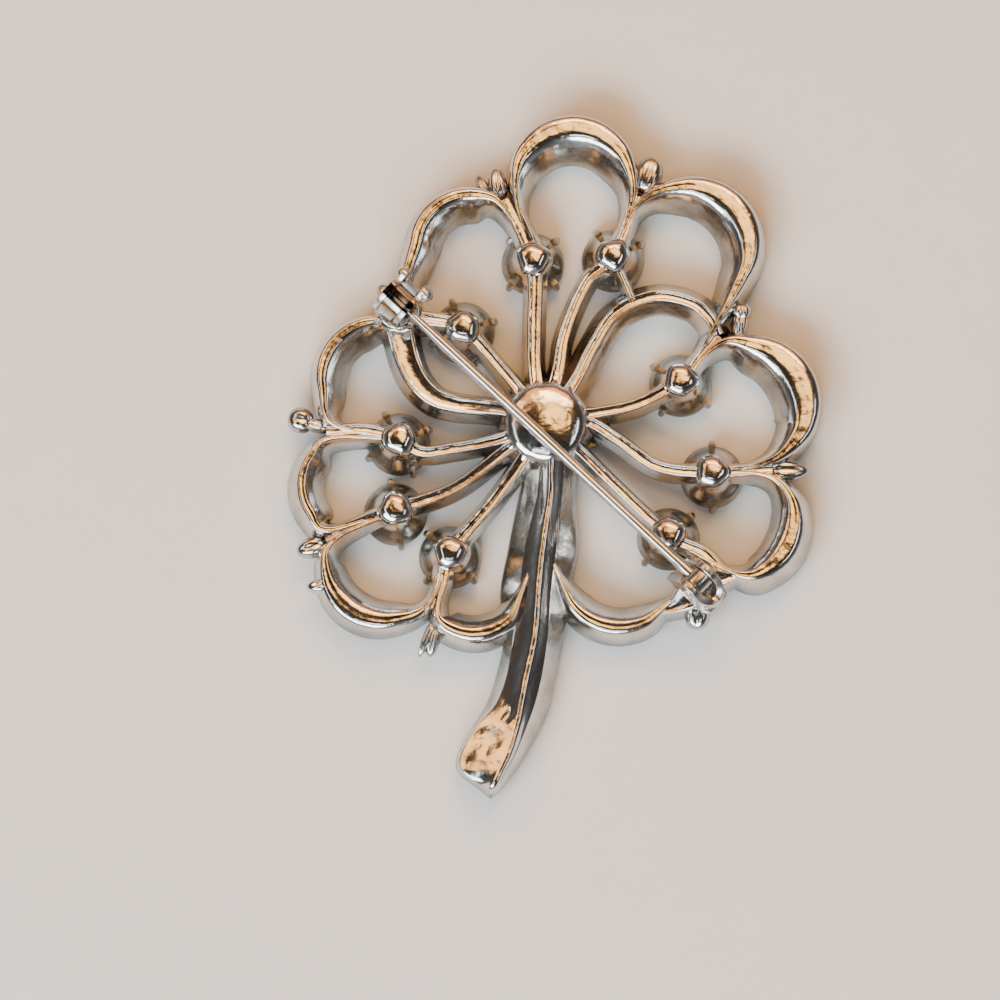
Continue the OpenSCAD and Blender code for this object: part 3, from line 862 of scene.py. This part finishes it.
def cup(middle, turn):
    """A cup: a lumpy dome, a skirt down to its rim, and the seat inside.

    The dome's radius swells and shrinks by a few hundredths round it, as the
    sum of a cosine with three waves and one with five.
    """
    steps = 4
    profile = flowing([
        (0.01, 4.62), (0.7, 4.56), (1.2, 4.32), (1.5, 3.9), (1.58, 3.4), (1.72, 2.85),
        (2.05, 2.3), (2.45, 1.75), (2.72, 1.2), (2.76, 0.9), (2.68, 0.72), (2.58, 0.78),
        (2.56, 1.08), (1.9, 1.66), (0.9, 2.52), (0.01, 3.24),
    ], steps)
    a = circle(72)
    lumps = 0.05 * np.cos(3 * a + turn) + 0.03 * np.cos(5 * a + 2 * turn)
    outside = np.arange(len(profile))[:, None] < 6 * steps
    upper = outside * np.clip((profile[:, 1:] - 3.0) / 0.7, 0, 1)
    return skin_at(middle, turned(profile, len(a), 1 + upper * lumps))


def claw(middle, degrees):
    """A claw: a round bar that bends in over the stone's edge and thins out."""
    path = flowing([(2.55, 2.0, 0.34), (2.86, 1.4, 0.32), (2.95, 0.85, 0.3), (2.82, 0.48, 0.26),
                    (2.52, 0.36, 0.18), (2.34, 0.34, 0.04)], 5)
    left = left_of(path[:, :2])
    a = circle(14)
    r = path[:, :1] + path[:, 2:] * np.cos(a) * left[:, :1]
    z = path[:, 1:2] + path[:, 2:] * np.cos(a) * left[:, 1:]
    return skin_at(middle, spun(r, path[:, 2:] * np.sin(a), z, degrees))


class BROOCH_OT_cups(Operator):
    """Make the nine cups and the claws that hold the stones"""

    bl_idname = "brooch.cups"
    bl_label = "Cups"

    def execute(self, context):
        shells = []
        for middle, first in zip(CUPS, CLAW_TURN):
            lumps_turn = math.radians(7 * first)
            shells.append(cup(middle, lumps_turn))
            shells += [claw(middle, first + quarter) for quarter in (0, 90, 180, 270)]
        obj = put_in_scene("casting_cups", shells, BODY, "casting")
        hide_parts("cast_frame")
        return {"FINISHED"}


def bud(row):
    """A bud: an egg-shaped bead with a crease along its back.

    Along it, its radius is the power 0.85 of a sine, and a pointed one loses
    up to three quarters of it towards its tip.
    """
    x, y, degrees, length, width, middle, point = row
    v = np.linspace(0, np.pi, 25)[:, None]
    u = circle(40)
    radius = (np.sin(v) ** 0.85 + 0.002) * (1 - 0.75 * point * (1 - np.cos(v)) / 2)
    radius = radius * (1 - 0.22 * np.exp(-(((u - np.pi / 2) / 0.32) ** 2)) * np.sin(v))
    along = -length / 2 * np.cos(v) * np.ones_like(u)
    across = width / 2 * radius * np.cos(u)
    return skin_at((x, y), spun(along, across, middle + radius * np.sin(u), degrees))


class BROOCH_OT_buds(Operator):
    """Make the small buds at the necks between the scallops"""

    bl_idname = "brooch.buds"
    bl_label = "Buds"

    def execute(self, context):
        shells = [bud(row) for row in BUDS]
        obj = put_in_scene("casting_buds", shells, BODY, "casting")
        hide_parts("cast_frame")
        return {"FINISHED"}


def rounded_box(half_x, half_y, z0, z1, r):
    """A box with rounded upright corners and rounded edges, as rings.

    Its outline is a superellipse, drawn in at the bottom and at the top.
    """
    a = circle(48)
    z, inset = (v[:, None] for v in rounded_edges(z0, z1, r))
    x = (half_x - inset) * np.cos(a) * squared(a)
    y = (half_y - inset) * np.sin(a) * squared(a)
    return np.stack([x, y, z * np.ones_like(a)], 2)


def wall(path, half, z0, z1, r):
    """An upright wall along a path in the pin's frame, with rounded upper edges.

    path holds x and y, and z1 the height of its top at each point. The edges
    are quarter circles of radius r.
    """
    q = np.linspace(0, np.pi / 2, 5)
    across = np.concatenate([r - half - r * np.cos(q), half - r + r * np.sin(q), [half, -half]])
    lift = np.concatenate([r * np.sin(q) - r, r * np.cos(q) - r])
    z = np.concatenate([z1[:, None] + lift, np.full((len(path), 2), z0)], 1)
    xy = path[:, None] + left_of(path)[:, None] * across[:, None]
    return np.concatenate([xy, z[..., None]], 2)


def ear_top(x):
    """Height of the joint's walls along the pin.

    It is a circle over the rivet, and past that a straight line down, which
    is steeper to the front.
    """
    level = np.sqrt(EAR_RADIUS ** 2 - np.minimum(np.abs(x), EAR_HALF) ** 2)
    return level - 2.0 * np.maximum(x - EAR_HALF, 0) - 1.0 * np.maximum(-x - EAR_HALF, 0)


def joint():
    """The joint: a plate, and one wall on it that makes both ears.

    The wall runs back along one side, round in a half circle, and forward
    along the other side.
    """
    plate = rounded_box((JOINT_BACK + JOINT_FRONT) / 2, 1.42, PLATE_BOTTOM, PLATE_TOP, 0.16)
    plate[..., 0] += (JOINT_FRONT - JOINT_BACK) / 2
    end = JOINT_WALL + HALF_WALL - JOINT_BACK
    turn = np.linspace(np.pi / 2, 3 * np.pi / 2, 25)
    bend = round_points(JOINT_WALL, turn) + [end, 0]
    x = np.linspace(JOINT_FRONT, end, 26)[:-1]
    side = np.stack([x, np.full(len(x), JOINT_WALL)], 1)
    path = np.vstack([side, bend, side[::-1] * [1, -1]])
    ears = wall(path, HALF_WALL, PLATE_TOP - 0.3, ear_top(path[:, 0]), 0.12)
    return [skin(along_pin(plate)), skin(along_pin(ears))]


def pads():
    """The casting's own pads: a bar under the joint and a round one under the catch."""
    x, y, width, top = flowing(PAD, 6).T
    section = bar_section(width, 0.45, top, 1.1)
    base = turned(flowing([(0.01, 4.3), (1.5, 4.28), (1.9, 4.1), (2.15, 3.2), (2.25, 2.0),
                           (2.0, 1.5), (0.01, 1.4)], 4), 48)
    return [carried(np.stack([x, y], 1), section), skin_at(CATCH, base)]


class BROOCH_OT_joint(Operator):
    """Make the joint that is soldered to the casting, and the pads under the fittings"""

    bl_idname = "brooch.joint"
    bl_label = "Joint"

    def execute(self, context):
        obj = put_in_scene("joint_plate", joint(), BODY, "fitting")
        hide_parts("cast_frame")
        obj = put_in_scene("casting_pads", pads(), BODY, "casting")
        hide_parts("cast_frame")
        return {"FINISHED"}


def plate_between(outline, x0, x1, r):
    """A flat plate with rounded edges, across the pin from x0 to x1.

    outline holds y and z, anticlockwise, and is drawn in along its own normal.
    """
    way = np.roll(outline, -1, 0) - np.roll(outline, 1, 0)
    way /= np.linalg.norm(way, axis=1)[:, None]
    out = np.stack([way[:, 1], -way[:, 0]], 1)
    x, inset = rounded_edges(x0, x1, r)
    yz = outline - inset[:, None, None] * out
    return np.concatenate([np.broadcast_to(x[:, None, None], (*yz.shape[:2], 1)), yz], 2)


def slot_sides(radius):
    """The angles at which a circle meets the slot's left side and its right side.

    The slot opens upwards. The second angle is a full turn further on.
    """
    half = math.asin(HALF_SLOT / radius)
    return np.pi / 2 + half, np.pi / 2 + 2 * np.pi - half


def collar_outline(radius, tab=False):
    """Outline of the turning collar: a disc with a bore, a slot and, if asked, a tab.

    On the tab, the outline is where a ray from the axis leaves the tab's circle.
    """
    left, right = slot_sides(radius)
    a = np.linspace(left, right, 132)
    r = np.full(len(a), radius)
    if tab:
        off = (a - TAB_ANGLE + np.pi) % (2 * np.pi) - np.pi
        aside = TAB_AWAY * np.sin(off)
        reach = TAB_AWAY * np.cos(off) + np.sqrt(np.maximum(TAB_RADIUS ** 2 - aside ** 2, 0))
        on_tab = (np.abs(aside) < TAB_RADIUS) & (np.cos(off) > 0)
        r = np.where(on_tab, np.maximum(radius, reach), r)
    outer = round_points(r, a)
    left, right = slot_sides(BORE)
    inner = round_points(BORE, np.linspace(right, left, 48))
    side = np.linspace(0, 1, 8)[1:-1, None]
    return np.vstack([outer, outer[-1] * (1 - side) + inner[0] * side,
                      inner, inner[-1] * (1 - side) + outer[0] * side])


def catch():
    """The catch: an open ring with a squared section, on its block."""
    a = np.radians(np.linspace(135, 405, 73))[:, None]
    corner = circle(32)
    r = RING_RADIUS + RING_HALF * np.cos(corner) * squared(corner)
    x = PIN_REACH + RING_HALF_LENGTH * np.sin(corner) * squared(corner)
    ring = np.stack([x * np.ones_like(a), r * np.cos(a), r * np.sin(a)], 2)
    block = rounded_box(RING_HALF_LENGTH, 1.4, PLATE_BOTTOM, BLOCK_TOP, 0.14)
    block[..., 0] += PIN_REACH
    return [skin(along_pin(ring)), skin(along_pin(block))]


def collar():
    """The collar: a barrel, a flange with a tab at each end, and a knob on each tab."""
    start, end = PIN_REACH - HALF_BARREL, PIN_REACH + HALF_BARREL
    plates = [
        plate_between(collar_outline(BARREL), start, end, 0.02),
        plate_between(collar_outline(FLANGE, True), start - FLANGE_THICK, start, 0.12),
        plate_between(collar_outline(FLANGE, True), end, end + FLANGE_THICK, 0.12),
    ]
    shells = [flat_skin(along_pin(plate)) for plate in plates]
    v = np.linspace(0.02, np.pi - 0.02, 17)
    ball = turned(np.stack([np.sin(v), np.cos(v)], 1), 32)
    for x, radius in ((PIN_REACH - 1.45, TAB_RADIUS), (PIN_REACH + 1.3, 0.6)):
        knob = radius * ball + [x, *round_points(TAB_AWAY, TAB_ANGLE)]
        shells.append(skin(along_pin(knob)))
    return shells


class BROOCH_OT_catch(Operator):
    """Make the catch's open ring on its block, and the collar that turns in it"""

    bl_idname = "brooch.catch"
    bl_label = "Catch"

    def execute(self, context):
        obj = put_in_scene("catch_ring", catch(), BODY, "fitting")
        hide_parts("cast_frame")
        obj = put_in_scene("catch_collar", collar(), "rotor", "fitting", 40)
        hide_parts("catch_rotor")
        return {"FINISHED"}


def about_pin(profile, around=48):
    """A profile of distance along the pin and radius, turned about the pin."""
    p = np.asarray(profile, float)
    a = circle(around)
    return np.stack([p[:, :1] * np.ones_like(a), p[:, 1:] * np.cos(a), p[:, 1:] * np.sin(a)], 2)


def about_rivet(profile):
    """The same with the distance across the pin, turned about the rivet."""
    return about_pin(profile, 56)[..., [1, 0, 2]]


def pin():
    """The pin: a wire shaft that thickens to its knuckle and tapers to its point.

    The knuckle is a ring with a rounded outer edge and a small lip at its bore.
    """
    r = size("pin_d") / 2
    end = PIN_REACH + PIN_PAST_CATCH
    shaft = flowing([
        (0.85, 0.6), (1.2, 0.6), (1.9, 0.57), (2.6, 0.5), (3.2, r), (8, r), (16, r), (24, r),
        (PIN_REACH - 6, r), (PIN_REACH - 4, 0.42), (PIN_REACH - 1.5, 0.3), (PIN_REACH, 0.22),
        (end - 0.7, 0.14), (end - 0.15, 0.07), (end, 0.01),
    ], 6)
    half, outer, bore, edge, lip = 0.7, 1.1, 0.5, 0.1, 0.04
    q = np.linspace(0, np.pi / 2, 6)
    knuckle = both_sides(np.vstack([
        np.stack([half - edge + edge * np.sin(q), outer - edge + edge * np.cos(q)], 1),
        np.stack([half - lip + lip * np.cos(q), bore + lip - lip * np.sin(q)], 1),
    ]))
    return [skin(along_pin(about_pin(shaft))), closed_ring(along_pin(about_rivet(knuckle)))]


def rivet():
    """The rivet: a bar through the ears with a domed head on the outside of each."""
    ear = 1.41
    head = [(-ear - 0.25, 0.01), (-ear - 0.23, 0.3), (-ear - 0.17, 0.55), (-ear - 0.08, 0.7),
            (-ear, 0.74), (-ear, 0.45)]
    return [skin(along_pin(about_rivet(both_sides(head))))]


class BROOCH_OT_pin(Operator):
    """Make the pin with its knuckle, and the rivet it turns on"""

    bl_idname = "brooch.pin"
    bl_label = "Pin"

    def execute(self, context):
        obj = put_in_scene("pin", pin(), "pin", "pin_wire", 40)
        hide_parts("pin_stem")
        obj = put_in_scene("rivet", rivet(), BODY, "fitting", 35)
        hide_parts("joint_rivet")
        return {"FINISHED"}


class BROOCH_OT_stones(Operator):
    """Give the nine cut stones their clear finish"""

    bl_idname = "brooch.stones"
    bl_label = "Stones"

    def execute(self, context):
        for number in range(1, len(CUPS) + 1):
            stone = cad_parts[f"stone_{number}"]
            stone.data.materials.clear()
            stone.data.materials.append(finish("stone"))
        return {"FINISHED"}


def soft_room():
    """A dim room, lighter towards the horizon, with soft glows.

    Its light grows with the power 2.5 of one less the upright part of the
    direction, and each glow fades as a power of the cosine from its middle.
    """
    world = bpy.data.worlds.new("Soft room")
    world.use_nodes = True
    tree = world.node_tree
    way = tree.nodes.new("ShaderNodeTexCoord").outputs["Generated"]
    level = combine(tree, "SUBTRACT", 1, combine(tree, "ABSOLUTE", upright(tree, way), 0))
    horizon = combine(tree, "POWER", level, 2.5)
    total = blend_colours(tree, horizon, (0.030, 0.024, 0.021), (0.30, 0.31, 0.32))
    for direction, sharpness, colour in GLOWS:
        along = combine_vectors(tree, "DOT_PRODUCT", way, Vector(direction).normalized())
        cosine = combine(tree, "MAXIMUM", along.outputs["Value"], 0)
        inputs = {0: colour, "Scale": combine(tree, "POWER", cosine, sharpness)}
        glow = add_node(tree, "ShaderNodeVectorMath", inputs, operation="SCALE").outputs["Vector"]
        total = combine_vectors(tree, "ADD", total, glow).outputs["Vector"]
    feed(tree, tree.nodes["Background"], {"Color": total})
    return world


def area_light(name, place, size_m, power, colour):
    """A rectangular lamp that faces the brooch."""
    lamp = bpy.data.lights.new(name, "AREA")
    lamp.shape = "RECTANGLE"
    lamp.size, lamp.size_y = size_m
    lamp.energy = power
    lamp.color = colour
    obj = new_object(name, lamp)
    obj.location = place
    obj.rotation_euler = (-Vector(place)).to_track_quat("-Z", "Y").to_euler()


def pale_floor():
    """A floor four metres wide, of pale paper with a faint grain."""
    mesh = bpy.data.meshes.new("floor")
    mesh.from_pydata([(-2, -2, 0), (2, -2, 0), (2, 2, 0), (-2, 2, 0)], [], [(0, 1, 2, 3)])
    mat, tree, shader = material("Floor paper", 0.75, 0.0)
    grain = noise(tree, object_place(tree), 260, 5.0, 0.6)
    tone = colours().floor
    feed(tree, shader, {"Base Color": blend_colours(tree, grain, [c * 0.97 for c in tone], tone)})
    mesh.materials.append(mat)
    return new_object("floor", mesh)


def camera():
    """A long lens that looks down at the brooch from the side of its foot."""
    lens = bpy.data.cameras.new("camera")
    lens.sensor_width = 36
    lens.lens = 36 * DISTANCE / (PICTURE_WIDTH * MM)
    lens.clip_start = 0.01
    back = Vector((0, -math.cos(ELEVATION), math.sin(ELEVATION)))
    obj = new_object("camera", lens)
    obj.location = Vector(LOOK_AT) * MM + back * DISTANCE
    obj.rotation_mode = "QUATERNION"
    obj.rotation_quaternion = (-back).to_track_quat("-Z", "Y")
    return obj


class BROOCH_OT_stage(Operator):
    """Make the pale floor, the soft lights and the camera"""

    bl_idname = "brooch.stage"
    bl_label = "Stage"

    def execute(self, context):
        floor = pale_floor()
        context.scene.world = soft_room()
        for lamp in LAMPS:
            area_light(*lamp)
        context.scene.camera = camera()
        return {"FINISHED"}


class BROOCH_PT_panel(Panel):
    """Lists the pieces of the brooch"""

    bl_idname = "BROOCH_PT_panel"
    bl_label = "Tree Brooch"
    bl_space_type = "VIEW_3D"
    bl_region_type = "UI"
    bl_category = "Brooch"

    def draw(self, context):
        for group in (context.scene.brooch_sizes, context.scene.brooch_colours):
            box = self.layout.box()
            for name in group.bl_rna.properties.keys():
                if name not in ("rna_type", "name"):
                    box.prop(group, name)
        for operator in OPERATORS:
            self.layout.operator(operator.bl_idname)


OPERATORS = (
    BROOCH_OT_rims, BROOCH_OT_branches, BROOCH_OT_hub, BROOCH_OT_trunk, BROOCH_OT_cups,
    BROOCH_OT_buds, BROOCH_OT_joint, BROOCH_OT_catch, BROOCH_OT_pin, BROOCH_OT_stones,
    BROOCH_OT_stage,
)
CLASSES = (BroochSizes, BroochColours, *OPERATORS, BROOCH_PT_panel)


def register():
    """Adds the classes and the two groups of settings to Blender."""
    for cls in CLASSES:
        bpy.utils.register_class(cls)
    bpy.types.Scene.brooch_sizes = PointerProperty(type=BroochSizes)
    bpy.types.Scene.brooch_colours = PointerProperty(type=BroochColours)


def unregister():
    """Takes them out again."""
    del bpy.types.Scene.brooch_colours
    del bpy.types.Scene.brooch_sizes
    for cls in reversed(CLASSES):
        bpy.utils.unregister_class(cls)


def main():
    """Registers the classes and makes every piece."""
    register()
    for operator in OPERATORS:
        group, name = operator.bl_idname.split(".")
        if getattr(getattr(bpy.ops, group), name)() != {"FINISHED"}:
            raise RuntimeError(f"{operator.bl_label} did not finish")


if __name__ == "__main__":
    main()
